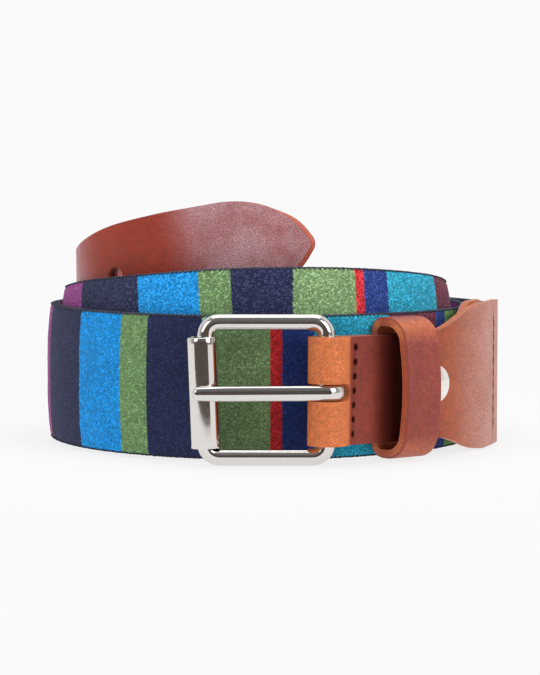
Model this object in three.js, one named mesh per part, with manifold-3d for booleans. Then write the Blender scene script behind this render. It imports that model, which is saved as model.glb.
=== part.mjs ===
import * as THREE from 'three';
import { mergeVertices } from 'three/addons/utils/BufferGeometryUtils.js';
import Module from 'manifold-3d';

const wasm = await Module();
wasm.setup();

// Belt: sizes in millimetres, Z up, the buckle at the front (-Y)
const webbingThickness = 2.6;
const webbingHalf = 18.9;
const webbingStartTurn = -24.5;
const webbingEndTurn = 798;
const webbingSteps = 156;
const widthSteps = 4;
const strapHalf = 14;
const flareHalf = 19.8;
const clearance = 0.3;
const snap = 0.0004;
const finest = 0.01;
const cutMargin = 1;
const punchLength = 12;
const punchSides = 20;

// Buckle
const wireRadius = 2.2;
const wireSides = 20;
const wireSteps = 64;
const frameWidth = 35.5;
const frameHeight = 39.2;
const frameCorner = 3.5;
const frameLow = 0.1;
const cornerSteps = 4;
const straightMargin = 1;
const hingeX = 14.55;
const buckleY = -71;
const rollerRadius = 3.95;
const rollerBore = 3.5;
const rollerLength = 28.6;
const rollerMiddle = 19;
const rollerShift = 0.38;
const rollerTilt = THREE.MathUtils.degToRad(2.1);
const rollerSides = 40;
const prongMiddle = 19.1;
const prongWidth = 4;
const prongThickness = 2.4;
const prongReach = 34.6;
const prongTurn = THREE.MathUtils.degToRad(3.6);
const eyeOuter = 4.85;
const eyeInner = 2.55;
const eyeSegments = 14;

// Folded leather at the buckle
const foldOuter = 4.9;
const foldInner = 2.55;
const foldApex = 5.4;
const foldRun = 7.2;
const foldSegments = 20;
const tabLayer = 2.35;
const skivedLayer = 2.1;
const pocketHalf = 1.6;
const slotHeight = 5;
const slotRun = 6;
const tabEndTurn = -14;
const tabFlareStart = 33;
const tabFlareEnd = 58;
const tabInnerStart = 44;
const tabInnerEnd = 64;
const tabPartingStart = 46;
const tabPartingEnd = 61.5;
const tabBond = 1.9;
const tabSteps = 44;
const tabSkive = 20;
const wedgeHalf = 0.1;

// Leather with the point and the holes
const tipLayer = 1.5;
const tipSkived = 1.8;
const tipPocket = 12;
const tipParting = 8;
const tipSteps = 58;
const noseSteps = 5;
const flareLength = 24;
const tipPoint = 25;
const noseHalf = 0.9;
const tipStartTurn = 787;
const noseTurn = 997;
const tipEndTurn = 1001.5;
const firstHole = 59.6;
const holePitch = 25;
const holeCount = 5;
const holeRadius = 2.8;

// Keeper loop and stud
const keeperTurn = -58.2;
const keeperReach = 1.4;
const keeperDepth = 13.2;
const keeperHeight = 37.1;
const keeperMiddle = 19.1;
const keeperWidth = 11.4;
const keeperSlip = 0.089;
const keeperLeather = 2.3;
const keeperFrontCorner = 7;
const keeperBackCorner = 4.2;
const keeperBulge = 1;
const keeperSegments = 10;
const studTurn = -50.2;
const studMiddle = 19.5;
const capRadius = 5.2;
const capRise = 2;
const capRim = 0.4;
const domeSteps = 6;
const studSides = 32;
const postRadius = 1.6;
const backRadius = 3;
const backThickness = 0.9;

// The coil of the webbing and the pointed leather, one row per section: the turn in degrees,
// the radius, the height of the middle, how far the top leans in and how far both edges curl in
const coil = [
  { turn: -26, radius: 62.3, lift: 19.9, lean: 0, cup: 0 },
  { turn: -13, radius: 61.5, lift: 19.6, lean: 0, cup: 0 },
  { turn: 0, radius: 61.3, lift: 19.2, lean: 0, cup: 0 },
  { turn: 25, radius: 62.8, lift: 18.94, lean: 0, cup: 0 },
  { turn: 60, radius: 64.4, lift: 18.9, lean: 0, cup: 0 },
  { turn: 90, radius: 64.6, lift: 18.9, lean: 0, cup: 0.3 },
  { turn: 135, radius: 63.6, lift: 18.9, lean: 0, cup: 0.6 },
  { turn: 180, radius: 61.8, lift: 19.6, lean: 0.3, cup: 1 },
  { turn: 225, radius: 62, lift: 19.5, lean: 0, cup: 0.6 },
  { turn: 270, radius: 62.6, lift: 19.4, lean: 0, cup: 0.3 },
  { turn: 285, radius: 61.2, lift: 19.4, lean: 0, cup: 0.3 },
  { turn: 300, radius: 58.9, lift: 19.4, lean: 0, cup: 0.3 },
  { turn: 315, radius: 57.3, lift: 19.3, lean: 0, cup: 0.3 },
  { turn: 330, radius: 56.4, lift: 19.3, lean: 0, cup: 0.3 },
  { turn: 345, radius: 55.7, lift: 19.2, lean: 0, cup: 0.3 },
  { turn: 360, radius: 55.1, lift: 19.2, lean: 0, cup: 0.3 },
  { turn: 405, radius: 55.8, lift: 20, lean: 0, cup: 0.3 },
  { turn: 450, radius: 57.8, lift: 21, lean: 0, cup: 0.5 },
  { turn: 495, radius: 58.4, lift: 22, lean: 1, cup: 0.8 },
  { turn: 540, radius: 58.2, lift: 23.8, lean: 1.5, cup: 1.2 },
  { turn: 585, radius: 58.6, lift: 28.5, lean: 1, cup: 0.6 },
  { turn: 630, radius: 59, lift: 31.9, lean: 0, cup: 0.2 },
  { turn: 645, radius: 57.7, lift: 31.7, lean: 0.5, cup: 0.2 },
  { turn: 660, radius: 55.2, lift: 30.9, lean: 1.5, cup: 0.5 },
  { turn: 682, radius: 53.2, lift: 29.1, lean: 3.5, cup: 0.7 },
  { turn: 720, radius: 51, lift: 25.2, lean: 5, cup: 1.1 },
  { turn: 765, radius: 50.9, lift: 25.5, lean: 3, cup: 0.4 },
  { turn: 790, radius: 51.3, lift: 25.6, lean: 1, cup: 0 },
  { turn: 810, radius: 51.7, lift: 26.3, lean: 0.3, cup: 0 },
  { turn: 825, radius: 52, lift: 27.6, lean: 0, cup: 0 },
  { turn: 860, radius: 52.8, lift: 32.4, lean: 0, cup: 0 },
  { turn: 900, radius: 53.2, lift: 37.8, lean: 0, cup: 0 },
  { turn: 918, radius: 52.9, lift: 41.5, lean: 0, cup: 0 },
  { turn: 936, radius: 50.5, lift: 46.7, lean: 0, cup: 0 },
  { turn: 954, radius: 48, lift: 50.2, lean: 0, cup: 0 },
  { turn: 972, radius: 48.1, lift: 52.8, lean: 0, cup: 0 },
  { turn: 990, radius: 50.9, lift: 55.5, lean: 0, cup: 0 },
  { turn: 996, radius: 52.4, lift: 56.3, lean: 0, cup: 0 },
  { turn: 1001.5, radius: 56.4, lift: 56.9, lean: 0, cup: 0 },
];

// The seam between the two layers of the folded leather, from the buckle's bar to its flared end
const seam = [
  { turn: -78.42, radius: 72.48, lift: 19.3, lean: 0, cup: 0 },
  { turn: -74.8, radius: 70.4, lift: 19.25, lean: 0, cup: 0 },
  { turn: -70.9, radius: 68.7, lift: 19.2, lean: 0, cup: 0 },
  { turn: -66.9, radius: 67.3, lift: 19.15, lean: 0, cup: 0 },
  { turn: -62.7, radius: 66.2, lift: 19.1, lean: 0, cup: 0 },
  { turn: -58.4, radius: 65.5, lift: 19.1, lean: 0, cup: 0 },
  { turn: -54, radius: 65.2, lift: 19.2, lean: 0, cup: 0 },
  { turn: -48, radius: 64.9, lift: 19.4, lean: 0, cup: 0 },
  { turn: -40, radius: 64.2, lift: 19.7, lean: 0, cup: 0 },
  { turn: -33, radius: 63.3, lift: 19.9, lean: 0, cup: 0 },
  { turn: -26, radius: 62.3, lift: 20.1, lean: 0, cup: 0 },
  { turn: -13, radius: 61.5, lift: 20.1, lean: 0, cup: 0 },
];

// A column's value at a turn, on a smooth curve through the rows
function read(rows, column, turn) {
  const last = rows.length - 1;
  let row = 0;
  while (row < last - 1 && turn > rows[row + 1].turn) {
    row += 1;
  }
  const rise = (a, b) => (rows[b][column] - rows[a][column]) / (rows[b].turn - rows[a].turn);
  const slope = (at) => {
    if (at === 0) return rise(0, 1);
    if (at === last) return rise(last - 1, last);
    const before = rows[at].turn - rows[at - 1].turn;
    const after = rows[at + 1].turn - rows[at].turn;
    return (rise(at - 1, at) * after + rise(at, at + 1) * before) / (before + after);
  };
  const span = rows[row + 1].turn - rows[row].turn;
  const t = (turn - rows[row].turn) / span;
  const start = rows[row][column];
  const end = rows[row + 1][column];
  const bend = (2 * t ** 3 - 3 * t ** 2) * (start - end);
  const leave = (t ** 3 - 2 * t ** 2 + t) * span * slope(row);
  const arrive = (t ** 3 - t ** 2) * span * slope(row + 1);
  return start + bend + leave + arrive;
}

// The strap's middle line at a turn
function middle(rows, turn) {
  const angle = THREE.MathUtils.degToRad(turn);
  const radius = read(rows, 'radius', turn);
  return new THREE.Vector3(radius * Math.cos(angle), radius * Math.sin(angle), read(rows, 'lift', turn));
}

// The middle line with the strap's own directions: forward, out of its face, up its width
function station(rows, turn) {
  const nudge = 0.25;
  const centre = middle(rows, turn);
  const forward = middle(rows, turn + nudge).sub(middle(rows, turn - nudge)).normalize();
  const flatOut = new THREE.Vector3(forward.y, -forward.x, 0).normalize();
  const flatUp = new THREE.Vector3().crossVectors(flatOut, forward);
  const lean = THREE.MathUtils.degToRad(read(rows, 'lean', turn));
  const out = flatOut.clone().multiplyScalar(Math.cos(lean)).addScaledVector(flatUp, Math.sin(lean));
  const up = flatUp.clone().multiplyScalar(Math.cos(lean)).addScaledVector(flatOut, -Math.sin(lean));
  return { turn, centre, forward, out, up, down: up.clone().negate(), cup: read(rows, 'cup', turn) };
}

// Stations from one turn to another with the distance run along the strap
function walk(rows, from, to, steps) {
  const list = [];
  let run = 0;
  for (let i = 0; i <= steps; i += 1) {
    const here = station(rows, from + (to - from) * i / steps);
    if (i > 0) run += here.centre.distanceTo(list[i - 1].centre);
    list.push({ ...here, run });
  }
  return list;
}

// Two walks as one, with the runs of the second counted on
function joined(first, second) {
  const end = first[first.length - 1].run;
  return [...first, ...second.slice(1).map((here) => ({ ...here, run: end + here.run }))];
}

// A station moved along the strap
function shifted(here, by) {
  return { ...here, centre: here.centre.clone().addScaledVector(here.forward, by) };
}

// A flat strip wound along the stations; inside, outside and half are functions of the run
function wind(list, inside, outside, half) {
  const steps = list.length - 1;
  const strip = new THREE.BoxGeometry(steps, 1, 2, steps, 1, widthSteps);
  const spots = strip.attributes.position;
  for (let i = 0; i < spots.count; i += 1) {
    const here = list[Math.round(spots.getX(i) + steps / 2)];
    const side = -spots.getZ(i);
    const face = spots.getY(i) > 0 ? outside(here.run) : inside(here.run);
    const place = here.centre.clone();
    place.addScaledVector(here.out, face - here.cup * Math.abs(side) ** 3);
    place.addScaledVector(here.up, side * half(here.run));
    spots.setXYZ(i, place.x, place.y, place.z);
  }
  return strip;
}

// A geometry as a solid for cutting and joining
function solid(geometry) {
  const plain = geometry.clone();
  if (plain.attributes.normal) plain.deleteAttribute('normal');
  if (plain.attributes.uv) plain.deleteAttribute('uv');
  const spots = plain.attributes.position.array;
  spots.forEach((value, i) => {
    spots[i] = Math.round(value / snap) * snap;
  });
  const merged = mergeVertices(plain, snap / 4);
  return new wasm.Manifold(new wasm.Mesh({
    numProp: 3,
    vertProperties: new Float32Array(merged.attributes.position.array),
    triVerts: new Uint32Array(merged.index.array),
  }));
}

// A solid as a geometry
function shell(body) {
  const mesh = body.simplify(finest).getMesh();
  const geometry = new THREE.BufferGeometry();
  geometry.setAttribute('position', new THREE.BufferAttribute(new Float32Array(mesh.vertProperties), 3));
  geometry.setIndex(new THREE.BufferAttribute(new Uint32Array(mesh.triVerts), 1));
  return geometry;
}

// A geometry turned so that X, Y and Z run along the given directions from a centre
function settle(geometry, x, y, z, centre) {
  const basis = new THREE.Matrix4().makeBasis(x, y, z);
  basis.setPosition(centre);
  return geometry.applyMatrix4(basis);
}

function smooth(from, to, value) {
  const t = THREE.MathUtils.clamp((value - from) / (to - from), 0, 1);
  return t * t * (3 - 2 * t);
}

// Half the width of the leather's rounded point, by the distance from its nose
function pointHalf(distance) {
  if (distance >= tipPoint) return strapHalf;
  const part = 1 - (1 - distance / tipPoint) ** 2;
  return Math.max(noseHalf, strapHalf * part ** 0.75);
}

const up = new THREE.Vector3(0, 0, 1);

// Striped elastic webbing
const webbingLine = walk(coil, webbingStartTurn, webbingEndTurn, webbingSteps);
const webbingFace = webbingThickness / 2;
const webbing = wind(webbingLine, () => -webbingFace, () => webbingFace, () => webbingHalf);

// Leather folded round the bar: a ring with two tails in plan, then two wound layers that part
// to hold the webbing's end
const seamLine = walk(seam, seam[0].turn, tabEndTurn, tabSteps);
const bodyLine = seamLine.filter((here) => here.run > foldRun - tabBond);
const tabOpen = (run) => wedgeHalf + (pocketHalf - wedgeHalf) * smooth(tabPartingStart, tabPartingEnd, run);
const tabLayerAt = (run) => tabLayer + (skivedLayer - tabLayer) * smooth(tabSkive, tabPartingEnd, run);
const tabOuter = (run) => tabOpen(run) - wedgeHalf + tabLayerAt(run);
const tabWidening = flareHalf - strapHalf;
const tabHalf = (run) => strapHalf + tabWidening * smooth(tabFlareStart, tabFlareEnd, run);
const tabInnerHalf = (run) => strapHalf + tabWidening * smooth(tabInnerStart, tabInnerEnd, run);

function foldPlan() {
  const plan = new THREE.Shape();
  const tail = new THREE.Vector2(foldRun, tabLayer);
  const touch = tail.angle() + Math.acos(foldOuter / tail.length());
  plan.moveTo(foldRun, tabLayer);
  plan.lineTo(foldOuter * Math.cos(touch), foldOuter * Math.sin(touch));
  plan.absarc(0, 0, foldOuter, touch, 2 * Math.PI - touch, false);
  plan.lineTo(foldRun, -tabLayer);
  plan.closePath();
  const hollow = new THREE.Path();
  const apexTouch = Math.acos(foldInner / foldApex);
  hollow.moveTo(foldApex, 0);
  hollow.lineTo(foldInner * Math.cos(apexTouch), foldInner * Math.sin(apexTouch));
  hollow.absarc(0, 0, foldInner, apexTouch, 2 * Math.PI - apexTouch, false);
  hollow.closePath();
  plan.holes.push(hollow);
  return plan;
}

const seamStart = seamLine[0];
const foldCut = { depth: 2 * strapHalf, curveSegments: foldSegments, bevelEnabled: false };
const foldBand = new THREE.ExtrudeGeometry(foldPlan(), foldCut);
foldBand.translate(0, 0, -strapHalf);
const seamLeft = new THREE.Vector3().crossVectors(up, seamStart.forward);
settle(foldBand, seamStart.forward, seamLeft, up, seamStart.centre);
const slotLength = foldOuter + slotRun + cutMargin;
const slot = new THREE.BoxGeometry(slotLength, 2 * (foldOuter + cutMargin), slotHeight);
slot.translate(slotRun - slotLength / 2, 0, 0);
settle(slot, seamStart.forward, seamLeft, up, seamStart.centre);
const studPlace = station(seam, studTurn);
studPlace.centre.z = studMiddle;
const studBore = postRadius + clearance;
const studHole = new THREE.CylinderGeometry(studBore, studBore, punchLength, punchSides);
settle(studHole, studPlace.forward, studPlace.out, studPlace.down, studPlace.centre);
const outerLayer = wind(bodyLine, () => -wedgeHalf, tabOuter, tabHalf);
const innerLayer = wind(bodyLine, (run) => -tabOuter(run), () => wedgeHalf, tabInnerHalf);
const tabEnd = seamLine.filter((here) => here.run > tabPartingStart);
tabEnd.push(shifted(tabEnd[tabEnd.length - 1], cutMargin));
const tabPocket = wind(tabEnd, (run) => -tabOpen(run), tabOpen, () => flareHalf + cutMargin);
const tab = solid(foldBand).add(solid(outerLayer)).add(solid(innerLayer))
  .subtract(solid(tabPocket)).subtract(solid(slot)).subtract(solid(studHole));

// Leather with the point, its layers parting at the other end to hold the webbing
const tipLine = joined(walk(coil, tipStartTurn, noseTurn, tipSteps), walk(coil, noseTurn, tipEndTurn, noseSteps));
const tipLength = tipLine[tipLine.length - 1].run;
const tipClosed = (run) => smooth(tipPocket, tipPocket + tipParting, run);
const tipOpen = (run) => pocketHalf + (wedgeHalf - pocketHalf) * tipClosed(run);
const tipLayerAt = (run) => tipSkived + (tipLayer - tipSkived) * tipClosed(run);
const tipOuter = (run) => tipOpen(run) - wedgeHalf + tipLayerAt(run);
const tipFlare = (run) => (flareHalf - strapHalf) * (1 - smooth(tipPocket, tipPocket + flareLength, run));
const tipHalf = (run) => pointHalf(tipLength - run) + tipFlare(run);
const tipLayers = wind(tipLine, (run) => -tipOuter(run), tipOuter, tipHalf);
const tipEnd = tipLine.filter((here) => here.run < tipPocket + tipParting);
tipEnd.unshift(shifted(tipEnd[0], -cutMargin));
const tipPocketCut = wind(tipEnd, (run) => -tipOpen(run), tipOpen, () => flareHalf + cutMargin);
let tip = solid(tipLayers).subtract(solid(tipPocketCut));
for (let i = 0; i < holeCount; i += 1) {
  const run = tipLength - firstHole - i * holePitch;
  const here = tipLine.reduce((a, b) => (Math.abs(b.run - run) < Math.abs(a.run - run) ? b : a));
  const punch = new THREE.CylinderGeometry(holeRadius, holeRadius, punchLength, punchSides);
  settle(punch, here.forward, here.out, here.down, here.centre);
  tip = tip.subtract(solid(punch));
}

// Keeper: a rounded rectangular loop of leather round the folded strap, its front bulging a little
function roundedLoop(path, inset) {
  const x = keeperDepth / 2 - inset;
  const y = keeperHeight / 2 - inset;
  const front = keeperFrontCorner - inset;
  const back = keeperBackCorner - inset;
  path.moveTo(-x + back, -y);
  path.absarc(x - front, -y + front, front, -Math.PI / 2, 0, false);
  path.quadraticCurveTo(x + 2 * keeperBulge, 0, x, y - front);
  path.absarc(x - front, y - front, front, 0, Math.PI / 2, false);
  path.absarc(-x + back, y - back, back, Math.PI / 2, Math.PI, false);
  path.absarc(-x + back, -y + back, back, Math.PI, 1.5 * Math.PI, false);
  return path;
}

const keeperPlan = roundedLoop(new THREE.Shape(), 0);
keeperPlan.holes.push(roundedLoop(new THREE.Path(), keeperLeather));
const keeperCut = { depth: keeperWidth, curveSegments: keeperSegments, bevelEnabled: false };
const keeper = new THREE.ExtrudeGeometry(keeperPlan, keeperCut);
keeper.translate(0, 0, -keeperWidth / 2);
const keeperPlace = station(seam, keeperTurn);
keeperPlace.centre.addScaledVector(keeperPlace.out, keeperReach).setZ(keeperMiddle);
const keeperForward = new THREE.Vector3(keeperPlace.forward.x, keeperPlace.forward.y, 0).normalize();
// its front has slipped a little along the strap
const keeperAcross = keeperPlace.out.clone().addScaledVector(keeperForward, keeperSlip);
settle(keeper, keeperAcross, up, keeperForward.clone().negate(), keeperPlace.centre);

// Frame: round wire bent to a rectangle with rounded corners
function framePoints() {
  const x = frameWidth / 2 - wireRadius - frameCorner;
  const z = frameHeight / 2 - wireRadius - frameCorner;
  const corners = [[x, -z, -90], [x, z, 0], [-x, z, 90], [-x, -z, 180]];
  const bottom = -z - frameCorner;
  const points = [new THREE.Vector3(0, 0, bottom), new THREE.Vector3(x - straightMargin, 0, bottom)];
  for (const [middleX, middleZ, start] of corners) {
    for (let i = 0; i <= cornerSteps; i += 1) {
      const angle = THREE.MathUtils.degToRad(start + 90 * i / cornerSteps);
      const dx = frameCorner * Math.cos(angle);
      const dz = frameCorner * Math.sin(angle);
      points.push(new THREE.Vector3(middleX + dx, 0, middleZ + dz));
    }
    const end = points[points.length - 1];
    const run = start === -90 || start === 90 ? 2 * z : 2 * x;
    const heading = THREE.MathUtils.degToRad(start + 90);
    const ahead = new THREE.Vector3(-Math.sin(heading), 0, Math.cos(heading));
    const straight = [straightMargin, run / 2, run - straightMargin];
    for (const part of start === 180 ? straight.slice(0, 1) : straight) {
      points.push(end.clone().addScaledVector(ahead, part));
    }
  }
  return points;
}

// The tube's side faces alone, whose first and last rings meet
function closedTube(tube) {
  const sides = tube.groups.find((group) => group.materialIndex === 1);
  const spots = tube.attributes.position.array.slice(sides.start * 3, (sides.start + sides.count) * 3);
  return new THREE.BufferGeometry().setAttribute('position', new THREE.BufferAttribute(spots, 3));
}

const wireCircle = new THREE.EllipseCurve(0, 0, wireRadius, wireRadius);
const wire = new THREE.Shape(wireCircle.getPoints(wireSides).slice(1));
const frameCurve = new THREE.CatmullRomCurve3(framePoints(), true, 'centripetal');
const frame = closedTube(new THREE.ExtrudeGeometry(wire, { steps: wireSteps, extrudePath: frameCurve }));
frame.translate(hingeX - frameWidth / 2 + wireRadius, buckleY, frameLow + frameHeight / 2);

// Roller: a thin tube on the frame's left bar
const rollerProfile = [
  new THREE.Vector2(rollerBore, -rollerLength / 2),
  new THREE.Vector2(rollerRadius, -rollerLength / 2),
  new THREE.Vector2(rollerRadius, rollerLength / 2),
  new THREE.Vector2(rollerBore, rollerLength / 2),
  new THREE.Vector2(rollerBore, -rollerLength / 2),
];
const roller = new THREE.LatheGeometry(rollerProfile, rollerSides);
roller.rotateX(Math.PI / 2);
roller.rotateY(-rollerTilt);
roller.translate(hingeX - frameWidth + 2 * wireRadius - rollerShift, buckleY, rollerMiddle);

// Prong: a strip with an eye round the frame's right bar, in plan with the bar at its origin
function prongPlan() {
  const plan = new THREE.Shape();
  const back = eyeOuter - prongThickness;
  const round = prongThickness / 2;
  plan.moveTo(0, eyeOuter);
  plan.absarc(0, 0, eyeOuter, Math.PI / 2, -Math.PI - Math.asin(back / eyeOuter), true);
  plan.lineTo(-prongReach + round, back);
  plan.absarc(-prongReach + round, back + round, round, -Math.PI / 2, -1.5 * Math.PI, true);
  plan.closePath();
  plan.holes.push(new THREE.Path().absarc(0, 0, eyeInner, 0, 2 * Math.PI, false));
  return plan;
}

const prongCut = { depth: prongWidth, curveSegments: eyeSegments, bevelEnabled: false };
const prong = new THREE.ExtrudeGeometry(prongPlan(), prongCut);
prong.translate(0, 0, -prongWidth / 2);
prong.rotateX(Math.PI);
prong.rotateZ(prongTurn);
prong.translate(hingeX, buckleY, prongMiddle);

// Stud: a domed cap, a post through the leather and a disc behind it
const capBase = tabLayer + clearance;
const studProfile = [
  new THREE.Vector2(0, -capBase - backThickness),
  new THREE.Vector2(backRadius, -capBase - backThickness),
  new THREE.Vector2(backRadius, -capBase),
  new THREE.Vector2(postRadius, -capBase),
  new THREE.Vector2(postRadius, capBase),
  new THREE.Vector2(capRadius, capBase),
];
for (let i = 1; i <= domeSteps; i += 1) {
  const angle = i / domeSteps * Math.PI / 2;
  const height = capBase + capRim + (capRise - capRim) * Math.sin(angle);
  studProfile.push(new THREE.Vector2(capRadius * Math.cos(angle), height));
}
studProfile[studProfile.length - 1].x = 0;
const stud = new THREE.LatheGeometry(studProfile, studSides);
settle(stud, studPlace.forward, studPlace.out, studPlace.down, studPlace.centre);

const leather = { color: 0x8f4434, roughness: 0.5, metalness: 0 };
const metal = { color: 0xc9c9cc, roughness: 0.12, metalness: 1 };
const pieces = [
  ['elastic_webbing', solid(webbing), { color: 0x2c3650, roughness: 0.9, metalness: 0 }],
  ['buckle_tab', tab, leather],
  ['tip_tab', tip, leather],
  ['keeper_loop', solid(keeper), leather],
  ['buckle_frame', solid(frame), metal],
  ['roller', solid(roller), metal],
  ['prong', solid(prong), metal],
  ['stud', solid(stud), metal],
];

const belt = new THREE.Group();
belt.name = 'belt';
for (const [name, body, look] of pieces) {
  const mesh = new THREE.Mesh(shell(body), new THREE.MeshStandardMaterial(look));
  mesh.name = name;
  belt.add(mesh);
}

// The belt's box is centred on the origin and stands on Z = 0
const box = new THREE.Box3().setFromObject(belt);
const middlePoint = box.getCenter(new THREE.Vector3());
for (const mesh of belt.children) {
  mesh.geometry.translate(-middlePoint.x, -middlePoint.y, -box.min.z);
  mesh.geometry.computeVertexNormals();
}

export default belt;
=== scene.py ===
from bisect import bisect_right
from functools import partial
from math import acos, atan2, cos, pi, radians, sin

import bmesh
import bpy
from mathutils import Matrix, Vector, noise


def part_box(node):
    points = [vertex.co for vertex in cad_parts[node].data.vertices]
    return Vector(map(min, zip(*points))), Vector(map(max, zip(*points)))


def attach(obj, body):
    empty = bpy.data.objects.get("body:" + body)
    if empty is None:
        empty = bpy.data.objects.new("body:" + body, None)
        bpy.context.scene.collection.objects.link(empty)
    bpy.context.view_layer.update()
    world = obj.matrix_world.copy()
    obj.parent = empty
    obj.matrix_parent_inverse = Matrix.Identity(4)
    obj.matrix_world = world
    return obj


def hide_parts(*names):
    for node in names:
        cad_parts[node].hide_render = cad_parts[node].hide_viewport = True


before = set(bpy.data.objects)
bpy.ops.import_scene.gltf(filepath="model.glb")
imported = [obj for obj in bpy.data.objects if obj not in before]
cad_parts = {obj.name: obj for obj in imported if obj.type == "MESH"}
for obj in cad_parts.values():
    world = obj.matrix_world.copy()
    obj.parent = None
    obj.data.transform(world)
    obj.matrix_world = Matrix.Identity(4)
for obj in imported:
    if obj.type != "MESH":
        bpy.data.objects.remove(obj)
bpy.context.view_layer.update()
scene = bpy.context.scene
mm = 0.001  # pieces are shaped flat in millimetres and turned to metres when they are placed

# the coil's middle, from the buckle's frame and how far the frame lies from it in mm
frameFromCoil = Vector((-1.0, -71.0, 19.7))
frameLow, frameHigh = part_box("buckle_frame")
coilCentre = (frameLow + frameHigh) / 2 - frameFromCoil * mm

# how the strap lies: turn in degrees, radius, height of its middle, lean of its top, curl of its edges
coilRows = [
    (-26, 62.3, 19.9, 0, 0), (-13, 61.5, 19.6, 0, 0), (0, 61.3, 19.2, 0, 0), (25, 62.8, 18.94, 0, 0),
    (60, 64.4, 18.9, 0, 0), (90, 64.6, 18.9, 0, 0.3), (135, 63.6, 18.9, 0, 0.6), (180, 61.8, 19.6, 0.3, 1),
    (225, 62, 19.5, 0, 0.6), (270, 62.6, 19.4, 0, 0.3), (285, 61.2, 19.4, 0, 0.3),
    (300, 58.9, 19.4, 0, 0.3), (315, 57.3, 19.3, 0, 0.3), (330, 56.4, 19.3, 0, 0.3),
    (345, 55.7, 19.2, 0, 0.3), (360, 55.1, 19.2, 0, 0.3), (405, 55.8, 20, 0, 0.3), (450, 57.8, 21, 0, 0.5),
    (495, 58.4, 22, 1, 0.8), (540, 58.2, 23.8, 1.5, 1.2), (585, 58.6, 28.5, 1, 0.6),
    (630, 59, 31.9, 0, 0.2), (645, 57.7, 31.7, 0.5, 0.2), (660, 55.2, 30.9, 1.5, 0.5),
    (682, 53.2, 29.1, 3.5, 0.7), (720, 51, 25.2, 5, 1.1), (765, 50.9, 25.5, 3, 0.4),
    (790, 51.3, 25.6, 1, 0), (810, 51.7, 26.3, 0.3, 0), (825, 52, 27.6, 0, 0), (860, 52.8, 32.4, 0, 0),
    (900, 53.2, 37.8, 0, 0), (918, 52.9, 41.5, 0, 0), (936, 50.5, 46.7, 0, 0), (954, 48, 50.2, 0, 0),
    (972, 48.1, 52.8, 0, 0), (990, 50.9, 55.5, 0, 0), (996, 52.4, 56.3, 0, 0), (1001.5, 56.4, 56.9, 0, 0),
]
# the seam between the two layers of the folded leather, from the buckle's bar to the flared end
seamRows = [
    (-78.42, 72.48, 19.3, 0, 0), (-74.8, 70.4, 19.25, 0, 0), (-70.9, 68.7, 19.2, 0, 0),
    (-66.9, 67.3, 19.15, 0, 0), (-62.7, 66.2, 19.1, 0, 0), (-58.4, 65.5, 19.1, 0, 0),
    (-54, 65.2, 19.2, 0, 0), (-48, 64.9, 19.4, 0, 0), (-40, 64.2, 19.7, 0, 0), (-33, 63.3, 19.9, 0, 0),
    (-26, 62.3, 20.1, 0, 0), (-13, 61.5, 20.1, 0, 0),
]


def smooth(start, end, value):
    t = min(max((value - start) / (end - start), 0), 1)
    return t * t * (3 - 2 * t)


# rises from 0 to 1 between two values and falls back between two more
def plateau(value, riseStart, riseEnd, fallStart, fallEnd):
    return smooth(riseStart, riseEnd, value) * (1 - smooth(fallStart, fallEnd, value))


def columnAt(rows, column, turn):
    last = len(rows) - 1
    row = min(max(bisect_right([r[0] for r in rows], turn) - 1, 0), last - 1)

    def rise(a, b):
        return (rows[b][column] - rows[a][column]) / (rows[b][0] - rows[a][0])

    def slope(at):
        if at in (0, last):
            return rise(max(at - 1, 0), max(at, 1))
        before, after = rows[at][0] - rows[at - 1][0], rows[at + 1][0] - rows[at][0]
        return (rise(at - 1, at) * after + rise(at, at + 1) * before) / (before + after)

    span = rows[row + 1][0] - rows[row][0]
    t = (turn - rows[row][0]) / span
    low, high = rows[row][column], rows[row + 1][column]
    leave = (t ** 3 - 2 * t ** 2 + t) * span * slope(row)
    arrive = (t ** 3 - t ** 2) * span * slope(row + 1)
    return low + (2 * t ** 3 - 3 * t ** 2) * (low - high) + leave + arrive


def middleAt(rows, turn):
    angle, radius = radians(turn), columnAt(rows, 1, turn)
    return Vector((radius * cos(angle), radius * sin(angle), columnAt(rows, 2, turn)))


def stationAt(rows, turn):
    forward = (middleAt(rows, turn + 0.25) - middleAt(rows, turn - 0.25)).normalized()
    flatOut = Vector((forward.y, -forward.x, 0)).normalized()
    flatUp = flatOut.cross(forward)
    lean = radians(columnAt(rows, 3, turn))
    out = flatOut * cos(lean) + flatUp * sin(lean)
    up = flatUp * cos(lean) - flatOut * sin(lean)
    return middleAt(rows, turn), forward, out, up, columnAt(rows, 4, turn)


stationsPerDegree = 2


def layPath(rows, startTurn, endTurn):
    count = round((endTurn - startTurn) * stationsPerDegree)
    stations = [stationAt(rows, startTurn + (endTurn - startTurn) * i / count) for i in range(count + 1)]
    runs = [0]
    for before, after in zip(stations, stations[1:]):
        runs.append(runs[-1] + (after[0] - before[0]).length)
    return {"stations": stations, "runs": runs, "length": runs[-1]}


# a point of the flat strap, placed on the path: along it, up its width, out of its face
def placeOn(path, along, across, out, half):
    runs = path["runs"]
    at = min(max(bisect_right(runs, along) - 1, 0), len(runs) - 2)
    span = runs[at + 1] - runs[at]
    part = min(max((along - runs[at]) / span, 0), 1)
    start, end = path["stations"][at], path["stations"][at + 1]
    centre, forward, outward, up = [a.lerp(b, part) for a, b in zip(start[:4], end[:4])]
    cup = start[4] + (end[4] - start[4]) * part
    beyond = along - runs[at] - span * part
    return centre + forward * beyond + outward * (out - cup * abs(across / half) ** 3) + up * across


# columns from border to border, about a gap apart
def evenColumns(borders, gaps):
    columns = borders[:1]
    for start, end, gap in zip(borders, borders[1:], gaps):
        count = max(1, round((end - start) / gap))
        columns += [start + (end - start) * i / count for i in range(1, count + 1)]
    return columns


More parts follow.
